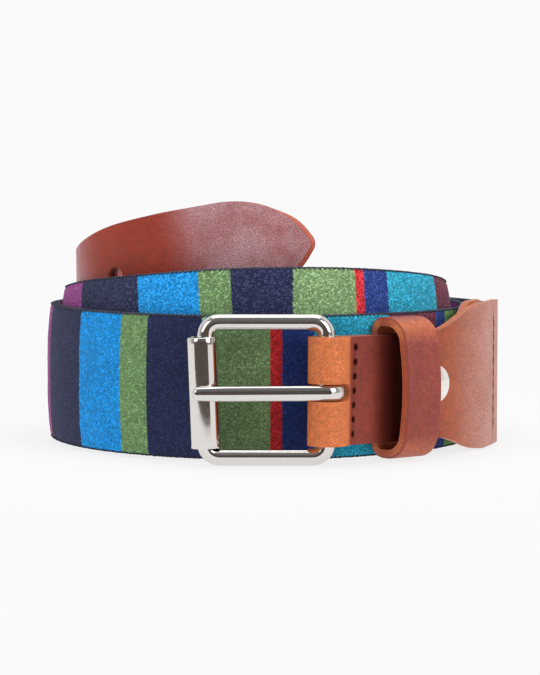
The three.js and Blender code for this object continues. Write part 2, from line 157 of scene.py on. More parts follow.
# a flat sheet of faces with its columns where they are asked for, as wide as half says
def flatStrip(columns, rows, half):
    bm = bmesh.new()
    bmesh.ops.create_grid(bm, x_segments=len(columns) - 1, y_segments=rows, size=0.5)
    for vert in bm.verts:
        column = columns[round((vert.co.x + 0.5) * (len(columns) - 1))]
        vert.co = (column, vert.co.y * 2 * half(column), 0)
    return bm


# a round or long opening: the faces inside go, and the rim that is left moves onto the outline
def cutOpening(bm, x, y, radius, reach=0):
    rimWidth = 1.2

    def outline(point):
        core = Vector((min(max(point.x, x - reach), x + reach), y, point.z))
        return core, point - core

    gone = [f for f in bm.faces if outline(f.calc_center_median())[1].length < radius]
    bmesh.ops.delete(bm, geom=gone, context="FACES")
    rim = [v for v in bm.verts if v.is_boundary and outline(v.co)[1].length < radius + rimWidth]
    for vert in rim:
        core, away = outline(vert.co)
        vert.co = core + away.normalized() * radius
    near = {e.other_vert(v) for v in rim for e in v.link_edges} - set(rim)
    near = [v for v in near if not v.is_boundary]
    for _ in range(3):
        bmesh.ops.smooth_vert(bm, verts=near, factor=0.5, use_axis_x=True, use_axis_y=True)


# thickness, then a small round on the cut edges of the grain side, or of both sides
def thicken(bm, thickness, rounding, bothSides=False):
    made = bmesh.ops.extrude_face_region(bm, geom=bm.faces[:])
    for item in made["geom"]:
        if isinstance(item, bmesh.types.BMVert):
            item.co.z = thickness
    bmesh.ops.recalc_face_normals(bm, faces=bm.faces)
    levels = (0, thickness) if bothSides else (thickness,)
    rims = [
        e for e in bm.edges
        if len(e.link_faces) == 2 and e.calc_face_angle(0) > 1
        and any(all(abs(v.co.z - z) < 1e-5 for v in e.verts) for z in levels)
    ]
    bmesh.ops.bevel(
        bm, geom=rims, offset=rounding, segments=3, profile=0.5,
        affect="EDGES", material=-1, clamp_overlap=True,
    )


# writes where each point lay while the piece was flat, shifted along by stretch, how far it is bent there,
# with painted shade inside the buckle on the webbing and painted light on the tab's flare, and the painted
# sheen and painted shade of leather and loose fibre of the webbing; the materials read these
def keepFlat(bm, bend=None, wax=None, stretch=None):
    flat = bm.verts.layers.float_vector.new("flat")
    bendAndLightLayer = bm.verts.layers.float.new("bend")
    waxed = bm.verts.layers.float.new("wax")
    for vert in bm.verts:
        vert[flat] = vert.co + Vector((stretch(vert.co), 0, 0)) if stretch else vert.co
        vert[bendAndLightLayer] = bend(vert.co) if bend else 0
        vert[waxed] = wax(vert.co) if wax else 0


def makeObject(bm, name, material):
    mesh = bpy.data.meshes.new(name)
    bm.to_mesh(mesh)
    bm.free()
    mesh.materials.append(material)
    obj = bpy.data.objects.new(name, mesh)
    scene.collection.objects.link(obj)
    return obj


# marks are keepFlat's bend with its painted light and shade, its painted sheen, painted shade and fluff,
# and stretch
def finishPiece(bm, name, place, node, slotName, body, material, sharp=40, mirrored=False, **marks):
    keepFlat(bm, **marks)
    for vert in bm.verts:
        vert.co = coilCentre + place(vert.co) * mm
    if mirrored:
        bmesh.ops.reverse_faces(bm, faces=bm.faces)
    obj = makeObject(bm, name, material)
    obj.data.shade_smooth()
    obj.data.set_sharp_from_angle(angle=radians(sharp))
    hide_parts(node)
    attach(obj, body)
    print(name, len(obj.data.polygons), "faces")


# short sunk lengths of thread between the needle holes of a row across the strap
def threadsBetween(row, surface, outward):
    bm = bmesh.new()
    pitch, phase = row["pitch"], row["phase"]
    count, intoHole = int(row["reach"] / pitch), 0.55
    for i in range(-count, count + 1):
        across = (i + 0.5) * pitch + phase
        if abs(across) + pitch / 2 > row["reach"]:
            continue
        along = outward * row["at"] + across * row["slant"]
        made = bmesh.ops.create_uvsphere(bm, u_segments=10, v_segments=6, radius=1)
        long = pitch / 2 - row["radius"] * intoHole
        for vert in made["verts"]:
            x, y, z = vert.co
            vert.co = (along + x * row["thread"], across + y * long, surface + z * row["thread"] / 2)
    return bm


# a tube of any section along a line of points: ends closed, or joined if the line is a ring
def tubeAlong(centreAt, side, count, sides, section, ring=False):
    bm = bmesh.new()
    bmesh.ops.create_grid(bm, x_segments=count, y_segments=sides, size=0.5)
    rings = []
    for i in range(count + 1):
        t = i / count
        ahead = (centreAt(t + 0.25 / count) - centreAt(t - 0.25 / count)).normalized()
        across = (side - ahead * side.dot(ahead)).normalized()
        rings.append((centreAt(t), across, ahead.cross(across), section(t)))
    for vert in bm.verts:
        centre, across, other, (wide, deep) = rings[round((vert.co.x + 0.5) * count)]
        angle = (vert.co.y + 0.5) * 2 * pi
        vert.co = centre + across * wide * cos(angle) + other * deep * sin(angle)
    bmesh.ops.remove_doubles(bm, verts=bm.verts, dist=1e-4)
    if not ring:
        bmesh.ops.holes_fill(bm, edges=[e for e in bm.edges if e.is_boundary])
    bmesh.ops.recalc_face_normals(bm, faces=bm.faces)
    return bm


def rotate(x, y, degrees):
    angle = radians(degrees)
    return x * cos(angle) - y * sin(angle), x * sin(angle) + y * cos(angle)


# an outline of radii and heights, turned about the upright axis
def lathe(outline, steps, closed=False):
    bm = bmesh.new()
    corners = [bm.verts.new((radius, 0, height)) for radius, height in outline]
    ends = corners[1:] + (corners[:1] if closed else [])
    sides = [bm.edges.new(pair) for pair in zip(corners, ends)]
    bmesh.ops.spin(
        bm, geom=corners + sides, cent=(0, 0, 0), axis=(0, 0, 1), angle=2 * pi, steps=steps,
        use_merge=True,
    )
    bmesh.ops.remove_doubles(bm, verts=bm.verts, dist=1e-4)
    bmesh.ops.recalc_face_normals(bm, faces=bm.faces)
    return bm


# walks along straight runs that each end in a quarter turn, and gives the place and the heading
def walkAlong(runs, point, heading, left):
    for straight, radius in runs:
        ahead = Vector((cos(heading), sin(heading)))
        used = min(left, straight)
        left -= used
        turn = min(left / radius, pi / 2) if radius else 0
        left -= turn * radius
        sideways = Vector((-ahead.y, ahead.x)) * radius * (1 - cos(turn))
        point = point + ahead * (used + radius * sin(turn)) + sideways
        heading += turn
    return point, heading


def lengthOf(runs):
    return sum(straight + radius * pi / 2 for straight, radius in runs)


# sRGB colour codes are turned to linear light
def fromHex(code):
    channels = [int(code[i:i + 2], 16) / 255 for i in (0, 2, 4)]
    return tuple(c / 12.92 if c <= 0.04045 else ((c + 0.055) / 1.055) ** 2.4 for c in channels) + (1.0,)


def grey(value):
    return (value, value, value, 1.0)


# values and sockets go to a node's inputs by name or by place. A noise takes its vector, scale, detail,
# roughness, lacunarity and distortion by place.
def fillInputs(node, inputs):
    for key, value in inputs.items():
        if isinstance(value, bpy.types.NodeSocket):
            node.id_data.links.new(value, node.inputs[key])
        else:
            node.inputs[key].default_value = value


# adds a node with its settings, its inputs and a ramp's stops, where a number is a grey, and gives one
# output or all of them
def addNode(tree, kind, inputs=(), operation=None, output=0, stops=(), interpolation="LINEAR", **settings):
    node = tree.nodes.new("ShaderNode" + kind)
    if operation:
        node.operation = operation
    for name, value in settings.items():
        setattr(node, name, value)
    if not isinstance(inputs, dict):
        places = [place for place, socket in enumerate(node.inputs) if not socket.is_unavailable]
        inputs = dict(zip(places, inputs))
    fillInputs(node, inputs)
    if stops:
        node.color_ramp.interpolation = interpolation
        elements = node.color_ramp.elements
        elements.remove(elements[-1])
        for i, (position, color) in enumerate(stops):
            element = elements.new(position) if i else elements[0]
            element.position = position
            element.color = color if isinstance(color, tuple) else grey(color)
    if isinstance(output, str):
        return node.outputs[output]
    outputs = [socket for socket in node.outputs if not socket.is_unavailable]
    return outputs if output is None else outputs[output]


def newMaterial(name):
    material = bpy.data.materials.new(name)
    material.use_nodes = True
    tree = material.node_tree
    return material, partial(addNode, tree), tree.nodes["Principled BSDF"]


# the settings of a Mix node that covers one colour with another, and of one that multiplies the two
cover = {"data_type": "RGBA"}
multiply = {"data_type": "RGBA", "blend_type": "MULTIPLY"}

# Elastic webbing: dyed polyester yarn knitted over covered rubber, so soft, matt and a little mottled.
# One stitch is about 0.75 mm wide, and the cells are its two legs of 0.38 mm. The stripes run across the
# strap and repeat every 193.4 mm. The scales here and in the leather are cells per millimetre.
webbingLook = {
    "period": 193.4, "origin": 47.1,
    "stripes": [
        (24.4, "292f52"), (42.5, "0f9cf0"), (50.9, "7b9f68"), (66.0, "232a52"), (83.0, "86a873"),
        (86.0, "dc2a32"), (93.8, "203e8c"), (117.0, "24a6c8"), (135.8, "6c2a40"), (140.3, "203e8c"),
        (147.5, "66964f"), (154.0, "252b50"), (193.4, "a04a93"),
    ],
    "ragged": 0.16, "legWide": 0.38, "column": 0.55, "lean": 0.8, "fuzz": (5.0, 2.0, 0.6),
    # the grey after the patches is multiplied in as painted shade inside the buckle
    "patches": (0.11, 3.0), "paintedShade": (0.3, 0.29, 0.28, 1.0), "roughness": 0.88,
    "bump": 0.75, "relief": 0.28,
}


def webbingMaterial():
    look = webbingLook
    material, node, shader = newMaterial("knitted_elastic")
    flat = node("Attribute", output="Vector", attribute_name="flat")
    along, across, _ = node("SeparateXYZ", (flat,), output=None)
    # stitches lean one way and the other in neighbouring columns
    zigzag = node("Math", (across, look["column"]), "PINGPONG")
    leaning = node("Math", (zigzag, look["lean"], along), "MULTIPLY_ADD")
    space = node("CombineXYZ", (leaning, across))
    stitches = {"Vector": space, "Scale": 1 / look["legWide"], "Randomness": 0.75}
    fromMiddle, cellColor, _ = node("TexVoronoi", stitches, output=None)
    fleck = node("SeparateColor", (cellColor,))
    fuzz, patches = [node("TexNoise", (flat, *look[name])) for name in ("fuzz", "patches")]
    # the stripe under a stitch, with a ragged border
    ragged = node("Math", (fleck, 2 * look["ragged"], -look["ragged"]), "MULTIPLY_ADD")
    place = node("Math", (along, ragged), "ADD")
    place = node("Math", (place, look["origin"]), "SUBTRACT")
    share = node("Math", (node("Math", (place, look["period"]), "DIVIDE"),), "FRACT")
    ends, codes = zip(*look["stripes"])
    stops = [(start / look["period"], fromHex(code)) for start, code in zip((0,) + ends, codes)]
    stripe = node("ValToRGB", (share,), stops=stops, interpolation="CONSTANT")
    # painted highlight on the stitches' crowns and painted shade in the gaps between them, some stitches
    # paler than others, fuzz and worn patches
    color = stripe
    for factor, source, stops in (
        (1.0, fromMiddle, [(0.1, 1.22), (0.5, 0.95), (0.85, 0.5)]),
        (1.0, fleck, [(0.0, 0.72), (0.7, 1.0), (0.9, 1.4), (1.0, 1.7)]),
        (0.35, fuzz, [(0.3, 0.45), (0.7, 1.5)]),
        (0.5, patches, [(0.3, 0.8), (0.7, 1.15)]),
    ):
        color = node("Mix", (factor, color, node("ValToRGB", (source,), stops=stops)), **multiply)
    # loose pale fibres on some stitches, more where the strap is worn
    fluff = node("Attribute", output="Fac", attribute_name="wax")
    loose = node("ValToRGB", (fleck,), stops=[(0.55, 0.1), (0.8, 0.6), (1.0, 1.0)])
    loose = node("Math", (loose, fluff), "MULTIPLY")
    paler = node("Mix", (0.3, stripe, stripe), data_type="RGBA", blend_type="SCREEN")
    paler = node("Mix", (1.0, paler, grey(2.1)), **multiply)
    paler = node("Mix", (0.08, paler, grey(1.0)), **cover)
    color = node("Mix", (loose, color, paler), **cover)
    # painted shade where the buckle's frame and roller shade the strap
    buckleShade = node("Attribute", output="Fac", attribute_name="bend")
    color = node("Mix", (buckleShade, color, node("Mix", (1.0, color, look["paintedShade"]), **multiply)), **cover)
    height = node("Math", (fuzz, 0.5), "MULTIPLY")
    height = node("Math", (height, fromMiddle), "SUBTRACT")
    normal = node("Bump", {"Strength": look["bump"], "Distance": look["relief"] * mm, "Height": height})
    fillInputs(shader, {
        "Base Color": color, "Normal": normal, "Roughness": look["roughness"],
        "Specular IOR Level": 0.25, "Sheen Weight": 0.05,
    })
    return material


# Selvedge: twisted navy polyester thread. Stitching: twisted linen thread, dyed brown and waxed.
# One twist of the yarn is 0.25 to 0.4 mm.
selvedgeLook = {
    "twist": (2.4, 3.0), "stops": [(0.3, "14182c"), (0.55, "20263f"), (0.8, "4a526e")], "bump": 0.6,
    "relief": 0.15, "shader": {"Roughness": 0.85, "Specular IOR Level": 0.25, "Sheen Weight": 0.3},
}
linenLook = {
    "twist": (4.0, 2.0), "stops": [(0.35, "4a1b12"), (0.65, "8a3a28")], "bump": 0.5, "relief": 0.1,
    "shader": {"Roughness": 0.6},
}


def threadMaterial(name, look):
    material, node, shader = newMaterial(name)
    flat = node("Attribute", output="Vector", attribute_name="flat")
    twist = node("TexNoise", (flat, *look["twist"]))
    color = node("ValToRGB", (twist,), stops=[(at, fromHex(code)) for at, code in look["stops"]])
    normal = node("Bump", {"Strength": look["bump"], "Distance": look["relief"] * mm, "Height": twist})
    fillInputs(shader, {"Base Color": color, "Normal": normal, **look["shader"]})
    return material


# Leather: vegetable-tanned cow hide, dyed brown and waxed, which turns orange where it is bent.
# Pores and grain are 0.3 to 0.8 mm, the cloudy patches of the dye 8 to 20 mm. Cut edges are burnished.
leatherLook = {
    "clouds": (0.075, 5.0, 0.6), "mottle": (0.6, 4.0, 0.7), "speck": (3.3, 2.0, 0.6),
    "fleck": (2.5, 3.0, 0.8, 2.0, 0.6), "grain": 1.5, "speckle": 0.35, "drift": 0.4, "bump": 0.4,
    # the darkest brown on the next line is painted shade, used beside the keeper and on the walls of the
    # holes
    "relief": 0.12, "roughness": 0.5, "bentEdge": "e58a52", "flesh": "d0744a", "paintedShade": "300a05",
    "hole": "2c0905", "grooveHalf": 0.7, "holeLong": 1.25, "soft": 0.6,
}


def leatherMaterial(name, look, stitchRows=()):
    look = {**leatherLook, **look}
    material, node, shader = newMaterial(name)
    flat = node("Attribute", output="Vector", attribute_name="flat")
    bend, wax = [node("Attribute", output="Fac", attribute_name=layer) for layer in ("bend", "wax")]
    along, across, depth = node("SeparateXYZ", (flat,), output=None)
    patterns = ("clouds", "mottle", "speck", "fleck")
    clouds, mottle, speck, fleck = [node("TexNoise", (flat, *look[pattern])) for pattern in patterns]
    grain = {"Vector": flat, "Scale": look["grain"], "Randomness": 1.0}
    grain = node("TexVoronoi", grain, feature="DISTANCE_TO_EDGE")
    dye = [(0.32, fromHex(look["deep"])), (0.62, fromHex(look["base"]))]
    color = node("ValToRGB", (clouds,), stops=dye)
    # bright orange where bent; on the tab's flare the same mark is painted light
    color = node("Mix", (bend, color, fromHex(look["bright"])), **cover)
    shade = node("ValToRGB", (mottle,), stops=[(0.3, 0.6), (0.7, 1.35)])
    color = node("Mix", (0.5, color, shade), **multiply)
    # painted sheen, pale and rosy, in clouds and specks where the light would reflect; and specks of tone
    # all over
    specks = node("ValToRGB", (speck,), stops=[(0.36, 0.5), (0.5, 0.95), (0.62, 1.8)])
    drift = node("ValToRGB", (clouds,), stops=[(0.36, 0), (0.64, 1)])
    drift = node("Math", (drift, look["drift"], 0.95 - look["drift"] / 2), "MULTIPLY_ADD")
    cloudy = node("Math", (wax, drift), "MULTIPLY", use_clamp=True)
    waxed = node("ValToRGB", (speck,), stops=[(0.38, 0.45), (0.6, 1.0)])
    waxed = node("Math", (cloudy, waxed), "MULTIPLY", use_clamp=True)
    color = node("Mix", (waxed, color, fromHex(look["sheenColor"])), **cover)
    color = node("Mix", (look["speckle"], color, specks), **multiply)
    # pale flecks in the painted sheen, and on bent leather
    onSheen, onBend = [node("Math", pair, "MULTIPLY") for pair in ((cloudy, 0.75), (bend, 0.4))]
    shows = node("Math", (onSheen, onBend), "MAXIMUM")
    flecks = node("ValToRGB", (fleck,), stops=[(0.52, 0), (0.62, 1)])
    flecks = node("Math", (flecks, shows), "MULTIPLY")
    color = node("Mix", (flecks, color, node("Mix", (1.0, color, grey(1.75)), **multiply)), **cover)
    # burnished cut edges, with a line of another brown where the grain side ends; on the tab the line is
    # paler, a painted highlight on the rounded edge
    below = node("Math", (depth, -1 / look["thickness"], 1.0), "MULTIPLY_ADD", use_clamp=True)
    bentShare = node("Math", (bend, 0.8), "MULTIPLY")
    edge = node("Mix", (bentShare, fromHex(look["edge"]), fromHex(look["bentEdge"])), **cover)
    edge = node("Mix", (0.5, edge, specks), **multiply)
    # the flesh side is paler, more orange and fibrous
    flesh = node("Mix", (0.6, fromHex(look["flesh"]), specks), **multiply)
    for stops, layer in (
        ([(0.04, 0), (0.2, 1)], edge),
        ([(0.0, 0), (0.05, 0.75), (0.16, 0.75), (0.34, 0)], fromHex(look["rim"])),
        ([(0.9, 0), (0.97, 1)], flesh),
    ):
        color = node("Mix", (node("ValToRGB", (below,), stops=stops), color, layer), **cover)
    # where that mark is less than none the colour is painted shade, dark and less glossy: beside the
    # keeper and on the walls of the point's holes
    paintedShade = node("Math", (node("Math", (wax, -1.0), "MULTIPLY"), 0.0), "MAXIMUM")
    color = node("Mix", (paintedShade, color, fromHex(look["paintedShade"])), **cover)
    height = node("Math", (node("Math", (grain, 0.22), "MINIMUM"), 1.6), "MULTIPLY")
    for source, share in ((mottle, 0.5), (speck, 0.35)):
        height = node("Math", (source, share, height), "MULTIPLY_ADD")
    dull = paintedShade
    # needle holes darkened with painted shade, in a shallow groove: rows at a distance along the strap,
    # slanted a little
    for row in stitchRows:
        within = node("Math", (across,), "ABSOLUTE")
        within = node("Math", (within, row["reach"]), "LESS_THAN")
        fromRow = node("Math", (along, row["at"]), "SUBTRACT")
        fromRow = node("Math", (across, -row["slant"], fromRow), "MULTIPLY_ADD")
        fromHole = node("Math", (across, row["pitch"] / 2), "PINGPONG")
        fromHole = node("Math", (fromHole, row["phase"]), "SUBTRACT")
        longer = node("Math", (fromRow, look["holeLong"]), "MULTIPLY")
        offset = node("CombineXYZ", (longer, fromHole))
        away = node("VectorMath", (offset,), "LENGTH", output="Value")
        away = node("Math", (away, look["soft"] * row["radius"]), "DIVIDE")
        hole = node("Math", (2.0, away), "SUBTRACT", use_clamp=True)
        hole = node("Math", (hole, within), "MULTIPLY")
        away = node("Math", (node("Math", (fromRow,), "ABSOLUTE"), look["grooveHalf"]), "DIVIDE")
        groove = node("Math", (1.0, away), "SUBTRACT", use_clamp=True)
        groove = node("Math", (groove, within), "MULTIPLY")
        groove = node("Math", (groove, row["groove"]), "MULTIPLY")
        for mark, code in ((groove, look["line"]), (hole, look["hole"])):
            color = node("Mix", (mark, color, fromHex(code)), **cover)
            height = node("Math", (mark, -1.5, height), "MULTIPLY_ADD")
        dull = node("Math", (dull, hole), "MAXIMUM")
    rough = [(0.3, look["roughness"] - 0.08), (0.7, look["roughness"] + 0.1)]
    relief = {"Strength": look["bump"], "Distance": look["relief"] * mm, "Height": height}
    fillInputs(shader, {
        "Base Color": color, "Normal": node("Bump", relief),
        "Roughness": node("ValToRGB", (mottle,), stops=rough),
        "Specular IOR Level": node("Math", (dull, -0.38, 0.4), "MULTIPLY_ADD"),
    })
    return material


# Buckle metal: steel wire and sheet with polished nickel plate, faintly rippled from the tumbling drum
nickelLook = {"ripple": 2.5, "haze": 0.9, "bump": 0.04, "relief": 0.05}


def nickelMaterial(name, look):
    material, node, shader = newMaterial(name)
    place = node("TexCoord", output="Object")
    ripple = node("TexNoise", (place, 1 / (nickelLook["ripple"] * mm), 3.0))
    haze = node("TexNoise", (place, 1 / (nickelLook["haze"] * mm), 3.0))
    color = [(0.3, fromHex(look["dull"])), (0.6, fromHex(look["bright"]))]
    rough = [(0.35, look["roughness"]), (0.75, look["roughness"] + 0.06)]
    height = {"Strength": nickelLook["bump"], "Distance": nickelLook["relief"] * mm, "Height": ripple}
    fillInputs(shader, {
        "Base Color": node("ValToRGB", (haze,), stops=color), "Normal": node("Bump", height),
        "Roughness": node("ValToRGB", (haze,), stops=rough), "Metallic": 1.0,
    })
    return material


# the striped strap
print("elastic webbing")
webbing = {
    "thickness": 2.6, "half": 18.6, "startTurn": -24.5, "endTurn": 798, "gap": 1.35, "rows": 12,
    "round": 1.1, "lump": 0.1, "lumpAlong": 0.16, "lumpAcross": 0.2,
}
webbingPath = layPath(coilRows, webbing["startTurn"], webbing["endTurn"])
webbingColumns = evenColumns([0, webbingPath["length"]], [webbing["gap"]])
webbingMesh = flatStrip(webbingColumns, webbing["rows"], lambda x: webbing["half"])
thicken(webbingMesh, webbing["thickness"], webbing["round"], bothSides=True)


def runTo(turn):
    return webbingPath["runs"][round((turn - webbing["startTurn"]) * stationsPerDegree)]


# a part of the strap between two turns, with the soft lengths at its start and its end in mm
def softPart(startTurn, endTurn, riseStart, riseEnd, fallStart, fallEnd):
    start, end = runTo(startTurn), runTo(endTurn)
    return start + riseStart, start + riseEnd, end + fallStart, end + fallEnd


# the elastic isn't stretched evenly, so its stripes shift along it by turn, bulge and lean a little.
# It is also fluffy where it was worn and brushed, and darkened with painted shade inside the buckle, most
# towards its lower edge.
wear = {
    "shifts": [
        (196, 0), (213, 1.2), (230, 2.3), (239, 1.6), (250, 1.3), (264, 0), (540, 0), (580, 0.6),
        (645, 0.6), (652, 0.15), (656, 0.5), (670, 0.7), (690, 0.6),
    ],
    "bulge": 0.35, "bulgePart": (runTo(196), runTo(230), runTo(250), runTo(264)),
    "lean": 0.09, "leanHeight": 13, "leanPart": (runTo(634), runTo(652)),
    "fluff": 0.09, "worn": 0.47, "wornPart": softPart(560, 690, 0, 40, 0, 40),
    "brushed": 0.5, "brushedHeights": (2, 14), "brushedPart": softPart(288, 318, 0, 6, 0, 12),
    # painted shade inside the buckle, deeper towards the lower edge and lighter further along
    "buckleShade": 0.45, "buckleShadeLow": 0.25, "buckleShadeDepths": (-17, 10), "buckleShadeFade": 0.15,
    "buckleShadeFadePart": (runTo(257), runTo(286)), "buckleShadePart": softPart(257, 286, -3, 2, -2, 3),
}
shiftRows = [(runTo(turn), shift) for turn, shift in wear["shifts"]]


def webbingStretch(flat):
    spans = zip(shiftRows, shiftRows[1:])
    shift = sum((high - low) * smooth(start, end, flat.x) for (start, low), (end, high) in spans)
    bulge = wear["bulge"] * (1 - (flat.y / webbing["half"]) ** 2) * plateau(flat.x, *wear["bulgePart"])
    return shift + bulge + wear["lean"] * (flat.y - wear["leanHeight"]) * smooth(*wear["leanPart"], flat.x)


def webbingFluff(flat):
    brushed = plateau(flat.x, *wear["brushedPart"]) * smooth(*wear["brushedHeights"], flat.y)
    return wear["fluff"] + wear["worn"] * plateau(flat.x, *wear["wornPart"]) + wear["brushed"] * brushed


# painted shade inside the buckle's frame: deeper towards the strap's lower edge, lighter further along
def webbingBuckleShade(flat):
    shade = wear["buckleShade"] + wear["buckleShadeLow"] * smooth(*wear["buckleShadeDepths"], -flat.y)
    shade -= wear["buckleShadeFade"] * smooth(*wear["buckleShadeFadePart"], flat.x)
    return shade * plateau(flat.x, *wear["buckleShadePart"])


def placeWebbing(flat):
    spot = Vector((flat.x * webbing["lumpAlong"], flat.y * webbing["lumpAcross"], flat.z))
    out = flat.z - webbing["thickness"] / 2 + webbing["lump"] * noise.noise(spot)
    return placeOn(webbingPath, flat.x, flat.y, out, webbing["half"])


finishPiece(
    webbingMesh, "elastic_webbing_knit", placeWebbing, "elastic_webbing", "webbing", "belt",
    webbingMaterial(), sharp=70, bend=webbingBuckleShade, wax=webbingFluff, stretch=webbingStretch,
)

# the navy thread that runs over and under both edges, one rib each 1.3 mm
selvedge = {
    "pitch": 1.3, "reach": 1.3, "drop": 0.36, "radius": 0.23, "top": 18.9, "wobble": 0.1,
    "stepsPerPitch": 10, "sides": 6,
}
selvedgeMaterial = threadMaterial("navy_edge_thread", selvedgeLook)


def placeSelvedge(flat):
    return placeOn(webbingPath, flat.x, flat.y, flat.z, webbing["half"])


for edgeName, sign in (("upper", 1), ("lower", -1)):
    length = webbingPath["length"]
    turns = round(length / selvedge["pitch"])

    def threadAt(t):
        phase = 2 * pi * turns * t
        height = selvedge["top"] - selvedge["radius"] - selvedge["drop"] * (1 - abs(cos(phase)) ** 0.6)
        wobble = selvedge["wobble"] * noise.noise(Vector((t * turns * 1.3, sign, 0)))
        return Vector((length * t, sign * (height + wobble), selvedge["reach"] * sin(phase)))

    thread = tubeAlong(
        threadAt, Vector((1, 0.01, 0)), turns * selvedge["stepsPerPitch"], selvedge["sides"],
        lambda t: (selvedge["radius"], selvedge["radius"]),
    )
    finishPiece(
        thread, f"selvedge_{edgeName}", placeSelvedge, "elastic_webbing", "webbing", "belt",
        selvedgeMaterial, sharp=80,
    )

# the strap that is folded round the buckle's bar
print("folded leather")
tab = {
    "layer": 2.35, "skived": 2.1, "half": 14, "flareHalf": 19.8, "outerFlare": (33, 58),
    "innerFlare": (44, 64), "foldOuter": 4.9, "foldInner": 2.55, "foldRun": 7.2, "partStart": 46,
    "partEnd": 61.5, "pocket": 1.6, "touch": 0.04, "rows": 24, "round": 0.5, "slotHalf": 2.25,
    "slotReach": 11.2, "slotDrop": 0.2, "studTurn": -50.2, "studHeight": 19.5, "postHole": 1.9,
    "pressed": 0.1, "endTurn": -14, "gap": 1.1, "foldGap": 0.62, "foldBend": (-3.3, -1.5),
    # the next two lines set where the flare gets painted light and painted sheen, and where painted shade
    # lies beside the keeper
    "flareLightPart": (23, 33), "flareLight": 0.34, "wax": 0.75, "waxPart": (32, 52), "keeperShade": 0.88,
    "keeperShadePart": (4, 11, 22, 26), "skiveStart": 20, "endMargin": 6.6,
}
seamPath = layPath(seamRows, seamRows[0][0], tab["endTurn"])
foldMiddle = (tab["foldOuter"] + tab["foldInner"]) / 2
tailPoint = Vector((tab["foldRun"], tab["layer"] / 2))
touchAngle = atan2(tailPoint.y, tailPoint.x) + acos(foldMiddle / tailPoint.length)
arcLength = foldMiddle * (pi - touchAngle)
lineLength = (tailPoint.length ** 2 - foldMiddle ** 2) ** 0.5
tailStart = arcLength + lineLength
tabEnd = tailStart + seamPath["length"] - tab["foldRun"]


def runOnSeam(along):
    return abs(along) - tailStart + tab["foldRun"]


def tabHalfAt(along):
    start, end = tab["outerFlare"] if along > 0 else tab["innerFlare"]
    flare = smooth(start, end, runOnSeam(along))
    return tab["half"] + (tab["flareHalf"] - tab["half"]) * flare


# along 0 is the middle of the fold, plus on the outer layer and minus on the inner one
def placeTab(flat):
    side = 1 if flat.x >= 0 else -1
    along, part = abs(flat.x), flat.z / tab["layer"]
    if along < arcLength:
        angle = pi - along / foldMiddle
        radius = tab["foldInner"] + (tab["foldOuter"] - tab["foldInner"]) * part
        ahead, out = radius * cos(angle), radius * sin(angle)
    elif along < tailStart:
        move = (along - arcLength) / lineLength
        touched = Vector((cos(touchAngle), sin(touchAngle)))
        low = (touched * tab["foldInner"]).lerp(Vector((tab["foldRun"], tab["touch"])), move)
        high = (touched * tab["foldOuter"]).lerp(Vector((tab["foldRun"], tab["layer"])), move)
        ahead, out = low.lerp(high, part)
    else:
        ahead = runOnSeam(along)
        parted = smooth(tab["partStart"], tab["partEnd"], ahead)
        opening = tab["touch"] + (tab["pocket"] - tab["touch"]) * parted
        skived = smooth(tab["skiveStart"], tab["partEnd"], ahead)
        layer = tab["layer"] + (tab["skived"] - tab["layer"]) * skived
        out = opening + (layer - tab["pressed"] * parted) * part
    return placeOn(seamPath, ahead, flat.y, side * out, tab["half"])


# by the distance past the fold's stitches: orange where bent at the fold, painted light where the flare
# begins, painted sheen further out, and painted shade beside the keeper
def tabBendAndLight(flat):
    past = abs(flat.x) - tailStart
    flare = tab["flareLight"] * smooth(*tab["flareLightPart"], past)
    return max(1 - smooth(*tab["foldBend"], past), flare)


def tabSheenAndShade(flat):
    past = abs(flat.x) - tailStart
    waxed = tab["wax"] * smooth(*tab["waxPart"], past)
    return waxed - tab["keeperShade"] * plateau(past, *tab["keeperShadePart"])


columns = evenColumns([-tabEnd, -tailStart, tailStart, tabEnd], [tab["gap"], tab["foldGap"], tab["gap"]])
tabMesh = flatStrip(columns, tab["rows"], tabHalfAt)
cutOpening(tabMesh, 0, -tab["slotDrop"], tab["slotHalf"], tab["slotReach"] - tab["slotHalf"])
studStation = stationAt(seamRows, tab["studTurn"])


def fromStud(run):
    return (placeOn(seamPath, run, 0, 0, tab["half"]) - studStation[0]).length


studRun = min(seamPath["runs"], key=fromStud)
studAlong = studRun - tab["foldRun"] + tailStart
studDrop = tab["studHeight"] - studStation[0].z
for side in (1, -1):
    cutOpening(tabMesh, side * studAlong, studDrop, tab["postHole"])
thicken(tabMesh, tab["layer"], tab["round"])
tabStitches = {
    "at": tailStart - 0.1, "pitch": 3.72, "phase": 0, "slant": 0.045, "radius": 1.12, "reach": 12.4,
    "thread": 0.3, "groove": 0.3,
}
flareStitches = {
    "pitch": 3.4, "phase": 1.7, "slant": 0, "radius": 0.6, "reach": 18.4, "thread": 0.5, "groove": 0.6,
}
endStitches = {**flareStitches, "at": tabEnd - tab["endMargin"]}
# the rim's paler brown is a painted highlight on the rounded edge, and the sheen colour is painted sheen
tabLook = {
    "base": "883222", "deep": "782a1d", "bright": "cc6f3b", "sheenColor": "bb9088", "edge": "a3523a",
    "line": "7a3022", "rim": "b06a55", "thickness": tab["layer"],
}
finishPiece(
    tabMesh, "buckle_tab_leather", placeTab, "buckle_tab", "tab_leather", "belt",
    leatherMaterial("waxed_leather_tab", tabLook, (tabStitches, endStitches)), bend=tabBendAndLight, wax=tabSheenAndShade,
)
linenMaterial = threadMaterial("brown_thread", linenLook)
for rowName, row in (("fold", tabStitches), ("end", endStitches)):
    for sideName, outward in (("front", 1), ("back", -1)):
        thread = threadsBetween(row, tab["layer"], outward)
        finishPiece(
            thread, f"stitches_{rowName}_{sideName}", placeTab, "buckle_tab", "tab_leather", "belt",
            linenMaterial,
        )

